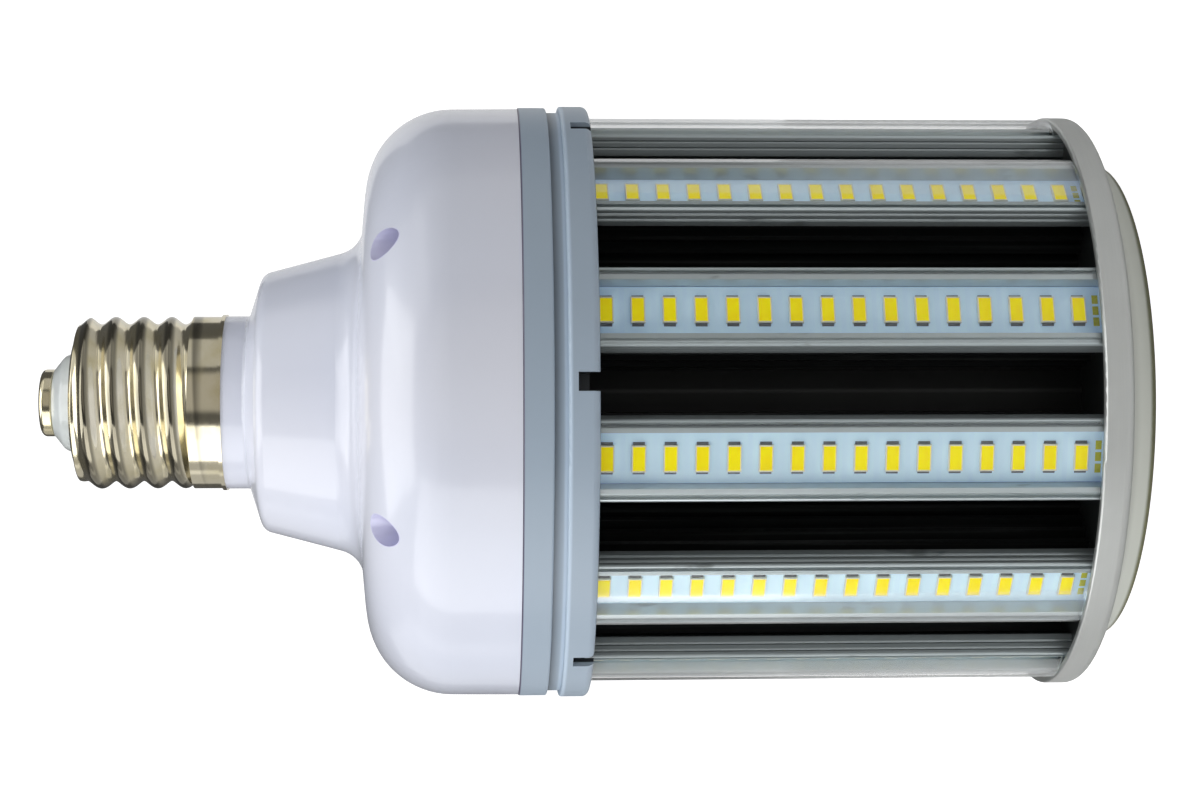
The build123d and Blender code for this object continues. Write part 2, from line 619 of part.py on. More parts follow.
def build():
    """All the pieces by name."""
    pieces = {
        "end_cover": end_cover(), "head_board": head_board(), "end_ring": end_ring(),
        "head_screws": head_screws(), "core_tube": core_tube(), "flange_ring": flange_ring(),
        "driver_base": driver_base(), "driver_housing": driver_housing(),
        "housing_screws": housing_screws(), "screw_shell": screw_shell(),
        "cap_insulator": cap_insulator(), "eyelet_contact": eyelet_contact(),
        "driver_board": driver_board(), "transformer_core": transformer_core(),
        "transformer_winding": transformer_winding(), "capacitors": capacitors(), "choke": choke(),
        "transistor_sink": transistor_sink(), "transistors": transistors(),
        "live_lead": live_lead(), "head_lead": head_lead(),
    }
    bar, board, lens = led_bar(), led_board(), lens_strip()
    for number, turn in enumerate(around(BAR_COUNT, 0), start=1):
        pieces[f"led_bar_{number:02d}"] = turn * bar
        pieces[f"led_board_{number:02d}"] = turn * board
        pieces[f"lens_strip_{number:02d}"] = turn * lens
    return pieces


os.makedirs("parts", exist_ok=True)
for name, piece in build().items():
    export_step(piece, f"parts/{name}.step")
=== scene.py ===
"""Dresses a screw-cap LED corn lamp for its picture, laid out as an add-on.

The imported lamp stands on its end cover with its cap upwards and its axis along
+Z. This file adds the LED packages, the boards' end pads and a smooth rolled
thread over the cap's shell, gives every piece its finish, and builds the
studio: a floor, soft lights and a camera that is turned on its side, because
the photograph shows the lamp lying down. Lengths are in metres and angles in
radians, except in the list of softboxes, which names its own units.
"""

import math

import bpy
import numpy as np
from mathutils import Matrix, Vector


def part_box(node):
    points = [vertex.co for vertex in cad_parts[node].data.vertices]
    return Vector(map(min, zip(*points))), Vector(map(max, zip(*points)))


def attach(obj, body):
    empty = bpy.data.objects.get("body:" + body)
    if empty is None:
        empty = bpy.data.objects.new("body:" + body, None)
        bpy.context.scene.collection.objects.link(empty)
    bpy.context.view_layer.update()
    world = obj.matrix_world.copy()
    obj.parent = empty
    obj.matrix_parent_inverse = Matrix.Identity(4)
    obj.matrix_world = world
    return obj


bl_info = {
    "name": "Corn Lamp Dressing",
    "version": (1, 0, 0),
    "blender": (4, 5, 0),
    "location": "3D View > Sidebar > Lamp",
    "description": "LED packages, a rolled thread, finishes and a studio for a screw-cap LED corn lamp",
    "category": "Object",
}

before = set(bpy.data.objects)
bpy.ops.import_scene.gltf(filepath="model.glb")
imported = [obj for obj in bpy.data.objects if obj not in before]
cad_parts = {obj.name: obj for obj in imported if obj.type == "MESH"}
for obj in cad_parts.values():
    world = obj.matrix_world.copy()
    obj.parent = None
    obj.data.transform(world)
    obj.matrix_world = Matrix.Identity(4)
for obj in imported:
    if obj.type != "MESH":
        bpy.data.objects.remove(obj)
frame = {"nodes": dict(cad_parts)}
NODES = frame["nodes"]
BODY = "root"

# Places and counts that the solids give
BAR_NODES = sorted(name for name in NODES if name.startswith("led_bar_"))
BOARD_NODES = sorted(name for name in NODES if name.startswith("led_board_"))
STRIP_NODES = sorted(name for name in NODES if name.startswith("lens_strip_"))
BOARD_LOW, BOARD_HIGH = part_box(BOARD_NODES[0])
RING_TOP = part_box("end_ring")[1].z
COVER_LOW, COVER_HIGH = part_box("end_cover")
HOUSING_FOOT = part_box("driver_housing")[0].z
FLANGE_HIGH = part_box("flange_ring")[1]
SHELL_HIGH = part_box("screw_shell")[1]
MM = 0.001

# The housing's screw wells: how many, and the angle of the first about the axis
WELL_COUNT = 6
FIRST_WELL = math.radians(15)

# The rolled thread's sleeve: points round the axis, rows along it, the power of its cosine wave,
# the height over which each end sinks away, and the depth of its plain inner wall under the root
THREAD_STEPS = 160
THREAD_ROWS = 150
THREAD_POWER = 0.9
THREAD_RUN_OUT = 2.5 * MM
THREAD_WALL = 0.4 * MM

# Faint glows that stand in for light scattered in the phosphor, the solder mask and the milky cover
PHOSPHOR_GLOW = 0.22
BOARD_GLOW = 0.10
BOARD_GLOW_TONE = (0.05, 0.30, 1.0)
COVER_GLOW = 0.12

# The bars' flat rails look rounded over this width, by a bump that drops by curve times distance squared
SOFT_CORNER = 2.0 * MM
SOFT_CURVE = 0.15 / MM

# Distances from the axis at which a look starts and is full: the bars' metal coming out of the painted shade
# that blackens them deep between the bars, the end ring's rim, and the cover's rounded edge
BAR_LIT = (56.6 * MM, 59.0 * MM)
RING_RIM = (62.5 * MM, 64.0 * MM)
COVER_ROUND = (52.5 * MM, 54.0 * MM)

# The camera's frame in millimetres and its nearest distance, and the floor's circles and points on each
FRAME_WIDTH = 36.0
NEAREST = 0.01
FLOOR_RINGS = 24
FLOOR_STEPS = 96

# The warm wall behind the camera: its tone, its tilt up the picture, and the agreement with its middle
# direction at which it starts and is full. The last is what the camera itself sees of the surroundings
WALL_TONE = (1.0, 0.97, 0.92)
WALL_TILT = math.radians(-14)
WALL_START = 0.86
WALL_FULL = 0.93
BACKDROP_SEEN = (1.2, 1.2, 1.2)


def length(name, text, value):
    """A property that holds a length in metres."""
    return bpy.props.FloatProperty(name=name, description=text, default=value, unit="LENGTH", precision=5)


def colour(name, text, value):
    """A property that holds a linear colour."""
    return bpy.props.FloatVectorProperty(
        name=name, description=text, default=value, subtype="COLOR", size=3, min=0.0, max=1.0
    )


def factor(name, text, value, highest=1.0):
    """A property that holds a plain number from nothing up to highest."""
    return bpy.props.FloatProperty(name=name, description=text, default=value, min=0.0, max=highest)


def turning(name, text, value):
    """A property that holds an angle in radians."""
    return bpy.props.FloatProperty(name=name, description=text, default=value, subtype="ANGLE")


def toned(tone, amount):
    """A colour times a number."""
    return tuple(amount * part for part in tone)


class LampSizes(bpy.types.PropertyGroup):
    """Sizes of the pieces that the dressing adds, and of the places that its finishes look for."""

    led_count: bpy.props.IntProperty(name="LEDs", description="Packages on one board", default=16, min=1)
    led_pitch: length("Pitch", "From one package to the next along a board", 6.676 * MM)
    first_led: length("First LED", "Height of the lowest package over the end ring's top", 3.6 * MM)
    package_width: length("Package width", "Across the bar, over the fused block", 5.76 * MM)
    package_length: length("Package length", "Along the bar, over the fused block", 3.06 * MM)
    package_height: length("Package height", "From the board's face to the frame's top", 0.92 * MM)
    block_height: length("Block height", "Height of the block that the package covers", 0.80 * MM)
    frame_wall: length("Frame wall", "Width of the white frame round the window", 0.22 * MM)
    window_depth: length("Window depth", "From the frame's top down to the window", 0.07 * MM)
    lead_reach: length("Lead reach", "How far a solder fillet runs out over its pad", 0.60 * MM)
    lead_rise: length("Lead rise", "How far a solder fillet climbs the package", 0.45 * MM)
    pad_height: length("Pad height", "Height of the row of end pads over the board's foot", 1.45 * MM)
    pad_size: length("Pad size", "Side of one end pad along the bar", 1.3 * MM)
    pad_pitch: length("Pad pitch", "From one end pad to the next across the bar", 2.5 * MM)
    well_circle: length("Well circle", "From the axis to the screw wells of the housing", 60.4 * MM)
    well_radius: length("Well radius", "Radius of a screw well", 3.4 * MM)
    groove_height: length("Groove height", "Height of the groove over the flange", 2.9 * MM)
    bar_half_width: length("Bar half width", "Across from a bar's middle to its side", 8.8 * MM)
    rail_top: length("Rail top", "From the axis to the rails' faces", 62.6 * MM)
    thread_pitch: length("Thread pitch", "From crest to crest", 6.35 * MM)
    thread_start: length("Thread start", "Height of the first crest on the side of the first bar", 207.9 * MM)
    thread_low: length("Thread low", "Height where the rolled thread begins to rise", 205.0 * MM)
    thread_high: length("Thread high", "Height where the rolled thread has sunk again", 235.2 * MM)
    thread_root: length("Thread root", "From the axis to the bottom of the thread", 17.92 * MM)
    thread_skin: length("Thread skin", "How far the rolled skin stands over the bottom", 0.1 * MM)
    thread_crest: length("Thread crest", "From the axis to the thread's crest", 19.72 * MM)


class LampColours(bpy.types.PropertyGroup):
    """Base colours of the finishes."""

    housing: colour("Housing", "Glossy white moulding with a bluish tint", (0.70, 0.73, 0.83))
    well: colour("Well", "Lavender tone inside the screw wells", (0.66, 0.66, 0.88))
    rings: colour("Rings", "Blue-grey moulding", (0.36, 0.44, 0.53))
    aluminium: colour("Aluminium", "Satin extrusion", (0.68, 0.76, 0.78))
    painted_recess_shade: colour("Recess", "The unlit stems and fins deep between the bars", (0.012, 0.014, 0.014))
    casting: colour("Casting", "Silver end ring", (0.60, 0.615, 0.60))
    board: colour("Board", "Pale blue-white solder mask", (0.74, 0.95, 1.0))
    window: colour("Window", "Yellow phosphor in the LED window", (0.93, 0.80, 0.0))
    frame: colour("Frame", "White package frame", (0.86, 0.84, 0.70))
    solder: colour("Solder", "Tin on the leads", (0.16, 0.16, 0.16))
    pad: colour("Pad", "Bare plated pads at the board's foot", (0.72, 0.74, 0.05))
    cover: colour("Cover", "Milky end cover", (0.74, 0.76, 0.70))
    cover_rim_painted_shade: colour("Cover edge", "Olive shade in the cover's rounded rim", (0.20, 0.20, 0.09))
    nickel: colour("Nickel", "Warm nickel plate", (0.76, 0.70, 0.53))
    insulator: colour("Insulator", "Milky glass between shell and contact", (0.62, 0.66, 0.66))


class StudioSettings(bpy.types.PropertyGroup):
    """The camera's place and the lights."""

    target_height: length("Target height", "Height on the axis that the camera looks at", 116.0 * MM)
    distance: length("Distance", "From the camera to the lamp's axis", 590.2 * MM)
    facing: turning("Facing", "Side of the lamp that faces the camera", math.radians(281.3))
    yaw: turning("Yaw", "Turn of the lamp's end away from the camera", 0.0538)
    pitch: turning("Pitch", "Tilt across the axis", -0.0031)
    roll: turning("Roll", "Turn about the view", -0.0023)
    rise: length("Rise", "Offset of the axis across the picture", 0.114 * MM)
    lens: bpy.props.FloatProperty(name="Lens", description="Focal length for a 36 mm frame", default=76.32)
    floor_radius: length("Floor radius", "Reach of the pale floor", 4.0)
    floor_seen: factor("Floor seen", "Brightness of the floor itself in the picture", 1.1, 5.0)
    floor_glow: factor("Floor glow", "Light that the floor throws on the lamp", 0.02, 5.0)
    panel_distance: length("Panel distance", "From the lamp's middle to each softbox", 0.6)
    panel_level: factor("Panel level", "All the softboxes' powers are multiplied by this", 1.0, 10.0)
    room_light: factor("Room light", "Strength of the dim surroundings", 0.10, 5.0)
    wall_light: factor("Wall light", "Strength of the warm wall behind the camera", 0.45, 5.0)


# Softboxes: name, degrees round the axis from the camera towards the picture's foot, degrees
# from there towards the end cover, size across and along the axis in metres, and power in watts
SOFTBOXES = (
    ("large_side", 57, 0, 0.6, 1.0, 3.5),
    ("lower_side", 80, 0, 0.7, 0.7, 0.6),
    ("behind_side", 120, 0, 0.4, 0.9, 0.5),
    ("over_cap", 0, -70, 0.6, 0.5, 2.1),
    ("cap_upper", -60, -50, 0.5, 0.5, 0.5),
    ("cap_lower", 60, -50, 0.5, 0.5, 0.2),
    ("upper_side", -70, 0, 0.5, 0.9, 0.6),
    ("back", 200, 0, 0.6, 0.6, 0.7),
)


class Signal:
    """A socket in a node tree. Its operators add Math nodes."""

    def __init__(self, tree, socket):
        self.tree = tree
        self.socket = socket

    def math(self, operation, *values):
        """A Math node of that operation on this value and the others."""
        return self.tree.node("ShaderNodeMath", {"operation": operation}, dict(enumerate((self, *values))))

    def __add__(self, other):
        return self.math("ADD", other)

    def __sub__(self, other):
        return self.math("SUBTRACT", other)

    def __mul__(self, other):
        return self.math("MULTIPLY", other)

    def __truediv__(self, other):
        return self.math("DIVIDE", other)

    def __neg__(self):
        return self.math("MULTIPLY", -1.0)

    def __rsub__(self, other):
        return (-self).math("ADD", other)

    __radd__ = __add__

    def ramp(self, low, high):
        """Runs smoothly from 0 at low to 1 at high."""
        settings = {"interpolation_type": "SMOOTHSTEP"}
        values = {"Value": self, "From Min": low, "From Max": high}
        return self.tree.node("ShaderNodeMapRange", settings, values)


class Tree:
    """A node tree under construction."""

    def __init__(self, tree):
        self.tree = tree

    def node(self, kind, settings=None, values=None, output=0):
        """Adds a node: its settings first, then its sockets' values or links. Gives one of its outputs."""
        made = self.tree.nodes.new(kind)
        for name, value in (settings or {}).items():
            setattr(made, name, value)
        for name, value in (values or {}).items():
            self.feed(made.inputs[name], value)
        return Signal(self, made.outputs[output])

    def feed(self, socket, value):
        """Links a signal to a socket, or sets the socket's own value."""
        if isinstance(value, Signal):
            self.tree.links.new(value.socket, socket)
        elif hasattr(value, "__len__") and len(value) == 3 and socket.type == "RGBA":
            socket.default_value = (*value, 1.0)
        else:
            socket.default_value = value

    def mix(self, first, second, share):
        """One colour turning into another as share goes from 0 to 1."""
        return self.node("ShaderNodeMix", {"data_type": "RGBA"}, {0: share, 6: first, 7: second}, output=2)

    def scaled(self, vector, stretch):
        """A vector times another, axis by axis."""
        return self.node("ShaderNodeVectorMath", {"operation": "MULTIPLY"}, {0: vector, 1: stretch})

    def noise(self, where, scale, detail=3.0, roughness=0.5):
        """Soft noise from 0 to 1, at scale features to a metre."""
        values = {"Vector": where, "Scale": scale, "Detail": detail, "Roughness": roughness}
        return self.node("ShaderNodeTexNoise", None, values)


class Finish(Tree):
    """A material with one Principled shader."""

    def __init__(self, name, **constants):
        self.material = bpy.data.materials.new(name)
        self.material.use_nodes = True
        super().__init__(self.material.node_tree)
        self.shader = self.tree.nodes["Principled BSDF"]
        self.place = self.node("ShaderNodeTexCoord", output="Object")
        for socket, value in constants.items():
            self.set(socket.replace("_", " ").title().replace("Ior", "IOR"), value)

    def set(self, socket, value):
        """Sets or links a socket of the shader."""
        self.feed(self.shader.inputs[socket], value)

    def parts(self):
        """The place's x, y and z."""
        axes = ("X", "Y", "Z")
        first = self.node("ShaderNodeSeparateXYZ", None, {0: self.place}, output="X")
        outputs = first.socket.node.outputs
        return [Signal(self, outputs[axis]) for axis in axes]

    def radius(self):
        """Distance from the lamp's axis."""
        x, y, _ = self.parts()
        return (x * x + y * y).math("SQRT")

    def off_station(self, count, start):
        """Distance round the axis to the nearest of count even stations, the first at the start angle."""
        x, y, _ = self.parts()
        step = 2 * math.pi / count
        turns = (y.math("ARCTAN2", x) - start) / step
        return ((turns + 0.5).math("FRACT") - 0.5).math("ABSOLUTE") * step * self.radius()

    def bar_frame(self):
        """Distances on the nearest bar: across from its middle, and out from the lamp's axis."""
        radius = self.radius()
        angle = self.off_station(len(BAR_NODES), 0) / radius
        return radius * angle.math("SINE"), radius * angle.math("COSINE")

    def bump(self, height, strength, distance):
        """Raises the surface a little where height is large."""
        values = {"Height": height, "Strength": strength, "Distance": distance}
        self.set("Normal", self.node("ShaderNodeBump", None, values))

    def paint(self, *names):
        """Gives this material to CAD nodes by name."""
        for name in names:
            slots = NODES[name].data.materials
            slots.clear()
            slots.append(self.material)


def new_piece(name, points, faces, materials, numbers):
    """Makes a mesh piece that rides on the lamp. numbers gives each face's place in materials."""
    mesh = bpy.data.meshes.new(name)
    mesh.from_pydata(points.tolist(), [], faces.tolist())
    for material in materials:
        mesh.materials.append(material)
    mesh.polygons.foreach_set("material_index", numbers.astype(np.int32))
    mesh.update()
    piece = bpy.data.objects.new(name, mesh)
    bpy.context.scene.collection.objects.link(piece)
    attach(piece, BODY)
    return piece


def rectangle_loops(loops):
    """Corners of stacked rectangles, four to a loop, from (half width, half length, height) rows."""
    signs = np.array([(-1, -1), (1, -1), (1, 1), (-1, 1)], float)
    rows = np.asarray(loops, float)
    flat = signs[None] * rows[:, None, :2]
    heights = np.repeat(rows[:, 2], len(signs)).reshape(len(rows), len(signs), 1)
    return np.concatenate([flat, heights], axis=2).reshape(-1, 3)


def loop_faces(loop_count):
    """Quads between neighbouring four-cornered loops, with the first and last loop closed."""
    corner = np.arange(4)
    after = (corner + 1) % 4
    start = 4 * np.arange(loop_count - 1)[:, None]
    walls = np.stack([start + corner, start + after, start + 4 + after, start + 4 + corner], axis=2)
    foot = corner[::-1][None]
    top = (4 * (loop_count - 1) + corner)[None]
    return np.concatenate([foot, walls.reshape(-1, 4), top])


def repeat_at(points, faces, centres):
    """Copies of a small mesh, one at each centre."""
    count = len(centres)
    moved = points[None] + centres[:, None]
    shifted = faces[None] + len(points) * np.arange(count)[:, None, None]
    return moved.reshape(-1, 3), shifted.reshape(-1, faces.shape[1])


def on_bar(points, angle, radius):
    """Turns (across, along, out) points on a bar's face to the lamp's own axes.

    A point goes out from the axis by radius plus its height, to the side by its
    first number, and up by its second. Across runs clockwise seen from the cap, so
    that faces keep pointing outwards."""
    across, along, out = points.T
    away = radius + out
    x = away * math.cos(angle) + across * math.sin(angle)
    y = away * math.sin(angle) - across * math.cos(angle)
    return np.stack([x, y, along], axis=1)


def bar_angle(number):
    """Angle of a bar about the axis, the first one on +X."""
    return 2 * math.pi * number / len(BAR_NODES)


class LAMP_OT_led_packages(bpy.types.Operator):
    """Cover each fused LED block with a framed package, its window and its solder"""

    bl_idname = "lamp.led_packages"
    bl_label = "LED Packages"

    def execute(self, context):
        """Each package is a stack of rectangles: up the sides, over the frame and down to the window.
        A solder fillet is a wedge: a rectangle at the board that shrinks to a narrow ledge against the
        package's end."""
        sizes = context.scene.lamp_sizes
        half_width = sizes.package_width / 2
        half_length = sizes.package_length / 2
        wall = sizes.frame_wall
        end_wall = 1.2 * wall
        draft = wall / 4
        top = sizes.package_height
        window = top - sizes.window_depth
        frame_slot, window_slot, solder_slot = range(3)
        levels = [
            (half_width, half_length, 0),
            (half_width, half_length, top - draft),
            (half_width - draft, half_length - draft, top),
            (half_width - end_wall, half_length - wall, top),
            (half_width - end_wall - draft, half_length - wall - draft, window),
        ]
        package = rectangle_loops(levels)
        package_faces = loop_faces(len(levels))
        package_numbers = np.full(len(package_faces), frame_slot)
        package_numbers[-1] = window_slot

        reach, rise = sizes.lead_reach, sizes.lead_rise
        foot, ledge, ledge_side = 0.82 * half_length, 0.78 * half_length, -0.4
        fillet = rectangle_loops([(reach / 2, foot, 0), (reach / 2, ledge, rise)])
        fillet[4:, 0] = np.array([-1, ledge_side, ledge_side, -1]) * reach / 2
        fillet_faces = loop_faces(2)
        right = fillet + (half_width + reach / 2, 0, 0)
        left = fillet * (-1, -1, 1) - (half_width + reach / 2, 0, 0)

        points = np.concatenate([package, right, left])
        starts = (0, len(package), len(package) + len(fillet))
        faces = np.concatenate([
            package_faces + starts[0], fillet_faces + starts[1], fillet_faces + starts[2]
        ])
        numbers = np.concatenate([package_numbers, np.full(2 * len(fillet_faces), solder_slot)])

        heights = RING_TOP + sizes.first_led + sizes.led_pitch * np.arange(sizes.led_count)
        centres = np.zeros((sizes.led_count, 3))
        centres[:, 1] = heights
        points, faces = repeat_at(points, faces, centres)
        numbers = np.tile(numbers, sizes.led_count)
        face_radius = BOARD_HIGH.x - sizes.block_height
        materials = [package_frame(context), phosphor(context), solder(context)]
        for number in range(len(BAR_NODES)):
            placed = on_bar(points, bar_angle(number), face_radius)
            name = f"led_packages_{number + 1:02d}"
            new_piece(name, placed, faces, materials, numbers)
        return {"FINISHED"}


class LAMP_OT_end_pads(bpy.types.Operator):
    """Lay the row of bare pads across the foot of each board"""

    bl_idname = "lamp.end_pads"
    bl_label = "End Pads"

    def execute(self, context):
        """A pad is a low box with drawn-in top edges."""
        sizes = context.scene.lamp_sizes
        half = sizes.pad_size / 2
        thick = 0.04 * MM
        half_across = half * 1.5
        pad = rectangle_loops([(half_across, half, 0), (half_across - thick, half - thick, thick)])
        offsets = np.array([-1, 0, 1]) * sizes.pad_pitch
        height = BOARD_LOW.z + sizes.pad_height
        centres = np.stack([offsets, np.full_like(offsets, height), np.zeros_like(offsets)], axis=1)
        row, row_faces = repeat_at(pad, loop_faces(2), centres)
        face_radius = BOARD_HIGH.x - sizes.block_height
        angles = [bar_angle(number) for number in range(len(BAR_NODES))]
        points = np.concatenate([on_bar(row, angle, face_radius) for angle in angles])
        faces = np.concatenate([row_faces + len(row) * number for number in range(len(angles))])
        new_piece("end_pads", points, faces, [pads(context)], np.zeros(len(faces)))
        return {"FINISHED"}


class LAMP_OT_rolled_thread(bpy.types.Operator):
    """Lay the smooth rolled thread over the screw shell"""

    bl_idname = "lamp.rolled_thread"
    bl_label = "Rolled Thread"

    def execute(self, context):
        """A closed sleeve. The thread's phase is the height over its start, in pitches, less the share of a
        turn gone round the axis. The outer wall stands over the bottom of the thread by a power of the cosine
        wave of the phase, which rounds the crests, and sinks away at both ends. The inner wall is plain."""
        sizes = context.scene.lamp_sizes
        step = np.arange(THREAD_STEPS)
        angles = 2 * np.pi * step / THREAD_STEPS
        heights = np.linspace(sizes.thread_low, sizes.thread_high, THREAD_ROWS)[:, None]
        phase = (heights - sizes.thread_start) / sizes.thread_pitch - angles / (2 * np.pi)
        wave = (0.5 + 0.5 * np.cos(2 * np.pi * phase)) ** THREAD_POWER
        from_end = np.minimum(heights - sizes.thread_low, sizes.thread_high - heights)
        fade = np.clip(from_end / THREAD_RUN_OUT, 0, 1)
        reach = sizes.thread_crest - sizes.thread_root - sizes.thread_skin
        outer = sizes.thread_root + fade * (sizes.thread_skin + reach * wave)
        inner = np.full((2, THREAD_STEPS), sizes.thread_root - THREAD_WALL)
        radius = np.concatenate([outer, inner])
        height = np.concatenate([heights, [[sizes.thread_high], [sizes.thread_low]]]) + 0 * radius
        points = np.stack([radius * np.cos(angles), radius * np.sin(angles), height], axis=2).reshape(-1, 3)
        after = (step + 1) % THREAD_STEPS
        count = len(radius)
        row = THREAD_STEPS * np.arange(count)[:, None]
        above = THREAD_STEPS * ((np.arange(count) + 1) % count)[:, None]
        faces = np.stack([row + step, row + after, above + after, above + step], axis=2).reshape(-1, 4)
        piece = new_piece("rolled_thread", points, faces, [], np.zeros(len(faces)))
        smooth = np.arange(len(faces)) < THREAD_STEPS * (THREAD_ROWS - 1)
        piece.data.polygons.foreach_set("use_smooth", smooth)
        return {"FINISHED"}


def package_frame(context):
    """The white moulded frame, with a fine darker grain."""
    made = Finish("package_frame", roughness=0.35)
    grain = made.noise(made.place, 3000.0)
    base = tuple(context.scene.lamp_colours.frame)
    darker = toned(base, 0.9)
    made.set("Base Color", made.mix(base, darker, grain))
    made.bump(grain, 0.1, 0.02 * MM)
    return made.material


def phosphor(context):
    """The yellow window, mottled as a poured silicone is, and a little deeper in places."""
    made = Finish("phosphor", roughness=0.5, specular_ior_level=0.15)
    mottle = made.noise(made.place, 900.0, detail=2.0)
    package = made.noise(made.place, 120.0, detail=0.0)
    base = tuple(context.scene.lamp_colours.window)
    deeper = (base[0] * 0.96, base[1] * 0.88, base[2])
    made.set("Base Color", made.mix(base, deeper, (mottle * 0.6 + package * 0.6).ramp(0.45, 0.8)))
    made.set("Emission Color", base)
    made.set("Emission Strength", PHOSPHOR_GLOW)
    made.bump(mottle, 0.15, 0.03 * MM)
    return made.material


def solder(context):
    """Dull tin with a grainy skin."""
    made = Finish("solder", metallic=0.7)
    grain = made.noise(made.place, 5000.0)
    # The tin's dark tone is partly its own dull grey and partly painted shade on the packages' shaded ends
    base = tuple(context.scene.lamp_colours.solder)
    made.set("Base Color", made.mix(base, toned(base, 1.8), grain))
    made.set("Roughness", 0.35 + grain * 0.3)
    made.bump(grain, 0.2, 0.03 * MM)
    return made.material


def pads(context):
    """Bare plated pads, tarnished in patches."""
    made = Finish("end_pad")
    patch = made.noise(made.place, 1500.0)
    base = tuple(context.scene.lamp_colours.pad)
    made.set("Base Color", made.mix(base, toned(base, 0.7), patch))
    made.set("Roughness", 0.3 + patch * 0.3)
    made.bump(patch, 0.1, 0.02 * MM)
    return made.material


class LAMP_OT_finish_bars(bpy.types.Operator):
    """Give the bars and the core tube their extruded aluminium"""

    bl_idname = "lamp.finish_bars"
    bl_label = "Finish Bars"

    def execute(self, context):
        """Die lines are noise stretched along the axis. Smudges are rare dark patches of noise.
        Each rail has a painted highlight along its outer corner and is duller towards the board, the sides
        carry painted shade, and deep between the bars, inside a set distance from the axis, painted shade
        turns the metal black. The outer
        corners are rounded in the shading only: past a line on the rail, the bump drops with distance
        squared."""
        colours = context.scene.lamp_colours
        sizes = context.scene.lamp_sizes
        made = Finish("satin_aluminium")
        drawn = made.scaled(made.place, (1.0, 1.0, 0.012))
        lines = made.noise(drawn, 4200.0, detail=4.0)
        bands = made.noise(drawn, 700.0, detail=2.0)
        smudge = made.noise(made.scaled(made.place, (1.0, 1.0, 0.35)), 160.0, detail=4.0).ramp(0.64, 0.73)
        light = tuple(colours.aluminium)
        dark = toned(light, 0.72)
        metal = made.mix(light, dark, lines * 0.5 + bands * 0.4)
        across, out = made.bar_frame()
        half = sizes.bar_half_width
        corner = across.ramp(half - 1.5 * MM, half - 1.2 * MM)
        # Painted shade: the bars' side walls under the rails are painted dark
        beside = across.ramp(half - 0.35 * MM, half - 0.15 * MM)
        under = beside * out.ramp(sizes.rail_top - 0.4 * MM, sizes.rail_top - 0.7 * MM)
        # Painted highlight: the rail's outer corner keeps the full metal tone, and the rail is painted duller
        # towards the board
        rail = made.mix(toned(light, 0.78), metal, corner)
        sides_painted_shade = made.mix(rail, toned(light, 0.42), under)
        marked = made.mix(sides_painted_shade, (0.10, 0.11, 0.11), smudge * 0.6)
        # Painted shade: inside a set distance from the axis the stems and fins are painted near black
        lit = out.ramp(*BAR_LIT)
        deep = made.mix(tuple(colours.painted_recess_shade), (0.035, 0.038, 0.038), bands.ramp(0.52, 0.62))
        made.set("Base Color", made.mix(deep, marked, lit))
        made.set("Metallic", lit * (0.85 - corner * 0.3))
        made.set("Roughness", 0.32 + lines * 0.14 + smudge * 0.2 - corner * 0.08)
        past = (across - (half - SOFT_CORNER)).math("MAXIMUM", 0.0)
        made.bump(lines * (0.005 * MM) - past * past * SOFT_CURVE, 1.0, 1.0)
        made.paint(*BAR_NODES)

        # Painted shade: the core tube is painted near black for the shade deep between the bars
        core = Finish("core_black_painted_shade", roughness=0.5)
        along = core.scaled(core.place, (1.0, 1.0, 0.02))
        core.bump(core.noise(along, 1500.0), 0.2, 0.05 * MM)
        cloud = core.noise(core.place, 60.0)
        core.set("Base Color", core.mix((0.004, 0.004, 0.004), tuple(colours.painted_recess_shade), cloud))
        core.paint("core_tube")
        return {"FINISHED"}


class LAMP_OT_finish_boards(bpy.types.Operator):
    """Give the circuit boards their pale solder mask"""

    bl_idname = "lamp.finish_boards"
    bl_label = "Finish Boards"

    def execute(self, context):
        """The mask thins over the copper, so the lands between the packages show as faint steps
        that follow the LED pitch along the axis."""
        sizes = context.scene.lamp_sizes
        made = Finish("board_mask", roughness=0.5, coat_weight=0.08)
        _, _, z = made.parts()
        step = (z - (RING_TOP + sizes.first_led)) / sizes.led_pitch
        between = (step.math("FRACT") - 0.5).math("ABSOLUTE")
        land = between.ramp(0.10, 0.06)
        cloud = made.noise(made.place, 90.0)
        base = tuple(context.scene.lamp_colours.board)
        mask = made.mix(base, toned(base, 0.93), cloud.ramp(0.35, 0.7))
        made.set("Base Color", made.mix(mask, toned(base, 0.90), land * 0.35))
        made.set("Emission Color", BOARD_GLOW_TONE)
        made.set("Emission Strength", BOARD_GLOW)
        made.bump(land * 0.5 + made.noise(made.place, 2500.0) * 0.3, 0.15, 0.03 * MM)
        made.paint(*BOARD_NODES, "head_board")
        return {"FINISHED"}


class LAMP_OT_finish_strips(bpy.types.Operator):
    """Give the arched strips a clear, polished finish"""

    bl_idname = "lamp.finish_strips"
    bl_label = "Finish Strips"

    def execute(self, context):
        """Clear strip: nearly see-through face on, and mirror-like where it is seen along its skin."""
        made = Finish("clear_strip", base_color=(0.93, 0.95, 0.96), metallic=0.9)
        ripple = made.noise(made.scaled(made.place, (1.0, 1.0, 0.03)), 300.0, detail=1.0)
        skim = made.node("ShaderNodeFresnel", None, {"IOR": 1.49})
        edge = made.node("ShaderNodeLayerWeight", None, {"Blend": 0.5}, output="Facing")
        made.set("Alpha", skim * 0.25 + edge.ramp(0.50, 0.84) * 0.6 + 0.004)
        made.set("Roughness", 0.07 + ripple * 0.08)
        made.bump(ripple, 0.12, 0.1 * MM)
        made.paint(*STRIP_NODES)
        return {"FINISHED"}


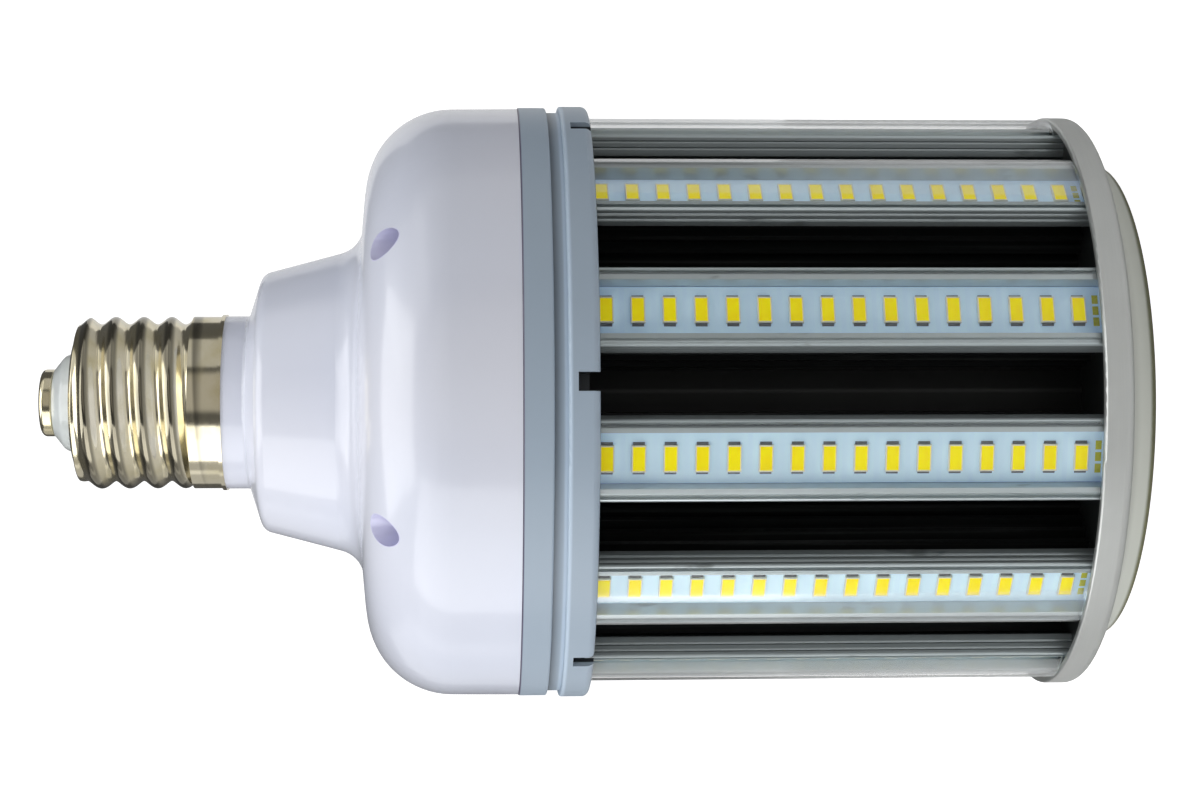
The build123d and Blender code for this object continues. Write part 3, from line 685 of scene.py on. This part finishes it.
class LAMP_OT_finish_housing(bpy.types.Operator):
    """Give the moulded housing its glossy white"""

    bl_idname = "lamp.finish_housing"
    bl_label = "Finish Housing"

    def execute(self, context):
        """A soft tint drifts over the moulding, and inside the screw wells a lavender tone is painted in for
        the shaded inner wall lit through the plastic.
        """
        made = Finish("white_plastic", coat_weight=0.5, coat_roughness=0.06)
        base = tuple(context.scene.lamp_colours.housing)
        drift = made.noise(made.place, 14.0, detail=1.0)
        warm = (base[0] * 1.03, base[1] * 1.01, base[2] * 0.99)
        cool = (base[0] * 0.98, base[1] * 0.99, base[2] * 1.01)
        skin = made.noise(made.place, 1200.0, detail=2.0)
        sizes = context.scene.lamp_sizes
        across = made.off_station(WELL_COUNT, FIRST_WELL)
        away = made.radius() - sizes.well_circle
        off_well = (across * across + away * away).math("SQRT")
        # Painted shade and light inside the screw wells: the lavender inner wall
        well_painted_shade = off_well.ramp(sizes.well_radius * 1.08, sizes.well_radius)
        shell = made.mix(warm, cool, drift.ramp(0.3, 0.7))
        made.set("Base Color", made.mix(shell, tuple(context.scene.lamp_colours.well), well_painted_shade))
        made.set("Roughness", 0.20 + skin * 0.08)
        made.bump(skin, 0.04, 0.03 * MM)
        made.paint("driver_housing")
        return {"FINISHED"}


class LAMP_OT_finish_rings(bpy.types.Operator):
    """Give the base ring and the flange their blue-grey moulding"""

    bl_idname = "lamp.finish_rings"
    bl_label = "Finish Rings"

    def execute(self, context):
        """Fine spark-eroded grain, with a faint drift of tint round the rings, a painted highlight along the
        flange's top edge, painted shade in the groove over it and inside the notches, and a dark seam under
        the housing."""
        made = Finish("grey_plastic")
        base = tuple(context.scene.lamp_colours.rings)
        drift = made.noise(made.place, 40.0, detail=2.0)
        grain = made.noise(made.place, 4000.0, detail=2.0)
        _, _, z = made.parts()
        seam = (z - HOUSING_FOOT).math("ABSOLUTE").ramp(0.5 * MM, 0.2 * MM)
        skin = made.mix(base, toned(base, 0.92), drift)
        # Painted highlight along the flange's top edge
        painted_highlight_lip = (z - FLANGE_HIGH.z).math("ABSOLUTE").ramp(1.1 * MM, 0.5 * MM) * 0.8
        groove_top = FLANGE_HIGH.z + context.scene.lamp_sizes.groove_height
        # Painted shade in the groove over the flange, darkest towards the base ring
        groove = z.ramp(FLANGE_HIGH.z + 0.5 * MM, groove_top) * z.ramp(groove_top + 0.05 * MM, groove_top)
        edge_highlighted = made.mix(skin, toned(base, 1.45), painted_highlight_lip)
        shaded = made.mix(edge_highlighted, toned(base, 0.45), groove)
        # Painted shade inside the notches, under the flange's top
        inward = made.radius().ramp(FLANGE_HIGH.x - 0.9 * MM, FLANGE_HIGH.x - 1.2 * MM)
        inside = inward * z.ramp(FLANGE_HIGH.z - 0.6 * MM, FLANGE_HIGH.z - 1.2 * MM)
        notch_painted_shade = made.mix(shaded, toned(base, 0.06), inside)
        made.set("Base Color", made.mix(notch_painted_shade, (0.10, 0.09, 0.15), seam))
        made.set("Roughness", 0.32 + grain * 0.12)
        made.bump(grain, 0.08, 0.03 * MM)
        made.paint("driver_base", "flange_ring")
        return {"FINISHED"}


class LAMP_OT_finish_end(bpy.types.Operator):
    """Give the end ring its silver casting and the cover its milky plastic"""

    bl_idname = "lamp.finish_end"
    bl_label = "Finish End"

    def execute(self, context):
        """The ring carries fine turning lines, and its top between the bars is painted black as shade. The
        cover has painted shade on its wall near the ring, and an olive painted shade where the wall rounds
        over."""
        colours = context.scene.lamp_colours
        ring = Finish("silver_casting")
        base = tuple(colours.casting)
        turned = ring.noise(ring.scaled(ring.place, (0.1, 0.1, 6.0)), 800.0, detail=3.0)
        patch = ring.noise(ring.place, 70.0, detail=3.0)
        skin = ring.mix(base, toned(base, 0.8), turned * 0.4 + patch * 0.5)
        rim = ring.radius().ramp(*RING_RIM)
        _, _, height = ring.parts()
        # Painted shade: the ring's top between the bars is painted black
        web_painted_shade = (height - (RING_TOP - 3.0 * MM)).ramp(0, 0.5 * MM) * (1.0 - rim)
        ring.set("Base Color", ring.mix(skin, tuple(colours.painted_recess_shade), web_painted_shade))
        ring.set("Metallic", 0.75 - web_painted_shade * 0.75)
        ring.set("Roughness", 0.30 + patch * 0.10)
        ring.bump(turned, 0.03, 0.03 * MM)
        ring.paint("end_ring")

        cover = Finish("milky_cover", roughness=0.22, coat_weight=0.4)
        _, _, z = cover.parts()
        wall = COVER_HIGH.z - COVER_LOW.z
        over_foot = z - COVER_LOW.z
        # Painted shade: the cover's rounded rim is painted dark olive, with less glow
        rounded = over_foot.ramp(wall * 0.18, wall * 0.08) * cover.radius().ramp(*COVER_ROUND)
        # Painted shade on the cover's wall near the ring
        shade = over_foot.ramp(wall * 0.34, wall * 0.55)
        face = tuple(colours.cover)
        clouded = cover.mix(face, toned(face, 0.9), cover.noise(cover.place, 25.0))
        walled = cover.mix(clouded, toned(face, 0.72), shade)
        cover.set("Base Color", cover.mix(walled, tuple(colours.cover_rim_painted_shade), rounded))
        cover.set("Emission Color", cover.mix(face, toned(face, 0.3), rounded))
        cover.set("Emission Strength", COVER_GLOW)
        cover.bump(cover.noise(cover.place, 500.0), 0.03, 0.05 * MM)
        cover.paint("end_cover")
        return {"FINISHED"}


class LAMP_OT_finish_cap(bpy.types.Operator):
    """Give the screw cap its nickel plate and its glassy insulator"""

    bl_idname = "lamp.finish_cap"
    bl_label = "Finish Cap"

    def execute(self, context):
        """Bright plate with a warm tarnish in patches and fine rolling lines round the axis, and a painted
        dark reflection along the thread's crests."""
        colours = context.scene.lamp_colours
        sizes = context.scene.lamp_sizes
        made = Finish("nickel_plate", metallic=1.0)
        base = tuple(colours.nickel)
        tarnish = made.noise(made.place, 130.0, detail=4.0).ramp(0.4, 0.75)
        rolled = made.noise(made.scaled(made.place, (0.15, 0.15, 3.0)), 900.0, detail=2.0)
        plated = made.mix(base, (base[0] * 0.85, base[1] * 0.82, base[2] * 0.68), tarnish)
        x, y, z = made.parts()
        turn = y.math("ARCTAN2", x) / (2 * math.pi)
        phase = (z - sizes.thread_start) / sizes.thread_pitch - turn
        begun = z.ramp(sizes.thread_start - 2.5 * MM, sizes.thread_start)
        threaded = begun * z.ramp(SHELL_HIGH.z, SHELL_HIGH.z - 2 * MM)
        # Painted dark reflection along the thread's crests
        crest = (phase * (2 * math.pi)).math("COSINE").ramp(0.1, 0.8) * threaded
        made.set("Base Color", made.mix(plated, toned(base, 0.36), crest))
        made.set("Roughness", 0.10 + tarnish * 0.08 + rolled * 0.05)
        made.bump(rolled * (0.0004 * MM), 1.0, 1.0)
        made.paint("screw_shell", "eyelet_contact")
        bpy.data.objects["rolled_thread"].data.materials.append(made.material)

        glass = Finish("glassy_insulator", roughness=0.18, coat_weight=0.6)
        milk = glass.noise(glass.place, 150.0, detail=3.0)
        face = tuple(colours.insulator)
        glass.set("Base Color", glass.mix(face, toned(face, 0.85), milk.ramp(0.3, 0.7)))
        glass.bump(milk, 0.05, 0.1 * MM)
        glass.paint("cap_insulator")
        return {"FINISHED"}


# Finishes inside the housing: name, two tones, grain to a metre, metallic, roughness, and the nodes
HIDDEN_FINISHES = (
    ("zinc", (0.55, 0.56, 0.57), (0.40, 0.41, 0.43), 900.0, 1.0, 0.35, ("head_screws", "housing_screws")),
    ("green_board", (0.02, 0.16, 0.06), (0.015, 0.11, 0.045), 300.0, 0.0, 0.4, ("driver_board",)),
    ("ferrite", (0.045, 0.045, 0.05), (0.02, 0.02, 0.022), 900.0, 0.0, 0.6, ("transformer_core", "choke")),
    ("winding_tape", (0.72, 0.52, 0.05), (0.6, 0.42, 0.03), 500.0, 0.0, 0.4, ("transformer_winding",)),
    ("capacitor_sleeve", (0.03, 0.04, 0.09), (0.02, 0.025, 0.05), 400.0, 0.0, 0.3, ("capacitors",)),
    ("sink_plate", (0.7, 0.71, 0.72), (0.55, 0.56, 0.57), 700.0, 1.0, 0.4, ("transistor_sink",)),
    ("black_epoxy", (0.02, 0.02, 0.02), (0.012, 0.012, 0.012), 1200.0, 0.0, 0.5, ("transistors",)),
    ("lead_insulation", (0.5, 0.02, 0.02), (0.4, 0.015, 0.015), 400.0, 0.0, 0.45, ("live_lead", "head_lead")),
)


class LAMP_OT_finish_inside(bpy.types.Operator):
    """Give the driver's parts, the screws and the leads their own finishes"""

    bl_idname = "lamp.finish_inside"
    bl_label = "Finish Inside"

    def execute(self, context):
        """Each kind of hidden part has two tones of one colour in fine noise, with a little bump."""
        for name, base, dark, scale, metallic, roughness, nodes in HIDDEN_FINISHES:
            made = Finish(name, metallic=metallic, roughness=roughness)
            grain = made.noise(made.place, scale)
            made.set("Base Color", made.mix(base, dark, grain))
            made.bump(grain, 0.2, 0.05 * MM)
            made.paint(*nodes)
        return {"FINISHED"}


def picture_axes(studio):
    """Unit vectors of the photograph on the upright lamp: right, down and towards the camera."""
    toward = Vector((math.cos(studio.facing), math.sin(studio.facing), 0))
    right = Vector((0, 0, -1))
    down = right.cross(toward)
    return right, down, toward


def camera_matrix(studio):
    """The camera's place and turn: yaw about the picture's vertical, then pitch, then roll."""
    right, down, toward = picture_axes(studio)
    ahead = right * math.sin(studio.yaw) - toward * math.cos(studio.yaw)
    side = right * math.cos(studio.yaw) + toward * math.sin(studio.yaw)
    below = down * math.cos(studio.pitch) + ahead * math.sin(studio.pitch)
    view = ahead * math.cos(studio.pitch) - down * math.sin(studio.pitch)
    across = side * math.cos(studio.roll) - below * math.sin(studio.roll)
    under = side * math.sin(studio.roll) + below * math.cos(studio.roll)
    place = Vector((0, 0, studio.target_height)) - view * studio.distance + down * studio.rise
    turn = Matrix((across, -under, -view)).transposed()
    return Matrix.Translation(place) @ turn.to_4x4()


def softbox(studio, name, turn, lift, across, along, power):
    """A soft rectangular light that faces the lamp's middle, unseen by the camera itself."""
    right, down, toward = picture_axes(studio)
    side = toward * math.cos(math.radians(turn)) + down * math.sin(math.radians(turn))
    way = side * math.cos(math.radians(lift)) + right * math.sin(math.radians(lift))
    data = bpy.data.lights.new(name, "AREA")
    data.shape = "RECTANGLE"
    data.size = across
    data.size_y = along
    data.energy = power * studio.panel_level
    light = bpy.data.objects.new(name, data)
    light.location = Vector((0, 0, studio.target_height)) + way * studio.panel_distance
    light.rotation_mode = "QUATERNION"
    light.rotation_quaternion = (-way).to_track_quat("-Z", "Y")
    light.visible_camera = False
    bpy.context.scene.collection.objects.link(light)


def disc(radius, rings, steps):
    """A flat disc on z = 0: circles of growing radius round a closed centre."""
    angles = 2 * np.pi * np.arange(steps) / steps
    radii = radius * (np.arange(1, rings + 1) / rings) ** 2
    x = radii[:, None] * np.cos(angles)
    y = radii[:, None] * np.sin(angles)
    points = np.stack([x, y, np.zeros_like(x)], axis=2).reshape(-1, 3)
    points = np.concatenate([np.zeros((1, 3)), points])
    step = np.arange(steps)
    after = (step + 1) % steps
    start = 1 + steps * np.arange(rings - 1)[:, None]
    quads = np.stack([start + step, start + steps + step, start + steps + after, start + after], axis=2)
    fan = np.stack([np.zeros(steps, int), 1 + step, 1 + after], axis=1)
    return points, quads.reshape(-1, 4).tolist() + fan.tolist()


class LAMP_OT_studio(bpy.types.Operator):
    """Build the pale floor, the soft lights and the camera on its side"""

    bl_idname = "lamp.studio"
    bl_label = "Studio"

    def execute(self, context):
        """The surroundings are dim but for a warm wall behind the camera, which the bright metal mirrors."""
        studio = context.scene.lamp_studio
        _, down, toward = picture_axes(studio)

        camera = bpy.data.objects.new("camera", bpy.data.cameras.new("camera"))
        camera.data.lens = studio.lens
        camera.data.sensor_width = FRAME_WIDTH
        camera.data.clip_start = NEAREST
        camera.matrix_world = camera_matrix(studio)
        context.scene.collection.objects.link(camera)
        context.scene.camera = camera
        context.scene.view_settings.view_transform = "Standard"

        points, faces = disc(studio.floor_radius, FLOOR_RINGS, FLOOR_STEPS)
        mesh = bpy.data.meshes.new("floor")
        mesh.from_pydata(points.tolist(), [], faces)
        floor = bpy.data.objects.new("floor", mesh)
        context.scene.collection.objects.link(floor)
        pale = Finish("pale_floor", roughness=0.9)
        speck = pale.noise(pale.place, 60.0)
        pale.set("Base Color", pale.mix((0.82, 0.82, 0.82), (0.78, 0.78, 0.78), speck))
        seen = pale.node("ShaderNodeLightPath", output="Is Camera Ray")
        pale.set("Emission Color", pale.mix((studio.floor_glow,) * 3, (studio.floor_seen,) * 3, seen))
        pale.set("Emission Strength", 1.0)
        mesh.materials.append(pale.material)

        for row in SOFTBOXES:
            softbox(studio, *row)

        world = bpy.data.worlds.new("studio")
        world.use_nodes = True
        context.scene.world = world
        tree = Tree(world.node_tree)
        middle = toward * math.cos(WALL_TILT) + down * math.sin(WALL_TILT)
        wall = self.share(tree, middle).ramp(WALL_START, WALL_FULL)
        room = (studio.room_light,) * 3
        warm = toned(WALL_TONE, studio.wall_light)
        lit = tree.mix(room, warm, wall)
        seen = tree.node("ShaderNodeLightPath", output="Is Camera Ray")
        background = world.node_tree.nodes["Background"]
        tree.feed(background.inputs["Color"], tree.mix(lit, BACKDROP_SEEN, seen))
        return {"FINISHED"}

    @staticmethod
    def share(tree, direction):
        """How far a direction of the surroundings agrees with a given one, from -1 to 1."""
        ray = tree.node("ShaderNodeTexCoord", output="Generated")
        values = {0: ray, 1: tuple(direction)}
        return tree.node("ShaderNodeVectorMath", {"operation": "DOT_PRODUCT"}, values, output="Value")


OPERATORS = (
    LAMP_OT_led_packages,
    LAMP_OT_end_pads,
    LAMP_OT_rolled_thread,
    LAMP_OT_finish_bars,
    LAMP_OT_finish_boards,
    LAMP_OT_finish_strips,
    LAMP_OT_finish_housing,
    LAMP_OT_finish_rings,
    LAMP_OT_finish_end,
    LAMP_OT_finish_cap,
    LAMP_OT_finish_inside,
    LAMP_OT_studio,
)


class LAMP_PT_dressing(bpy.types.Panel):
    """The lamp's pieces, colours and studio"""

    bl_label = "Corn Lamp"
    bl_space_type = "VIEW_3D"
    bl_region_type = "UI"
    bl_category = "Lamp"

    def draw(self, context):
        """One box for each group of settings, then a button for each operator."""
        scene = context.scene
        for group in (scene.lamp_sizes, scene.lamp_colours, scene.lamp_studio):
            box = self.layout.box()
            for name in group.__annotations__:
                box.prop(group, name)
        for operator in OPERATORS:
            self.layout.operator(operator.bl_idname)


CLASSES = (LampSizes, LampColours, StudioSettings, *OPERATORS, LAMP_PT_dressing)


def register():
    """Adds the classes and the scene's settings."""
    for made in CLASSES:
        bpy.utils.register_class(made)
    bpy.types.Scene.lamp_sizes = bpy.props.PointerProperty(type=LampSizes)
    bpy.types.Scene.lamp_colours = bpy.props.PointerProperty(type=LampColours)
    bpy.types.Scene.lamp_studio = bpy.props.PointerProperty(type=StudioSettings)


def unregister():
    """Takes the scene's settings and the classes away again."""
    del bpy.types.Scene.lamp_studio
    del bpy.types.Scene.lamp_colours
    del bpy.types.Scene.lamp_sizes
    for made in reversed(CLASSES):
        bpy.utils.unregister_class(made)


def run(operator):
    """Calls an operator by its own name."""
    group, name = operator.bl_idname.split(".")
    getattr(getattr(bpy.ops, group), name)()


def main():
    """Dresses the lamp."""
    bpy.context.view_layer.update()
    register()
    for operator in OPERATORS:
        run(operator)


if __name__ == "__main__":
    main()
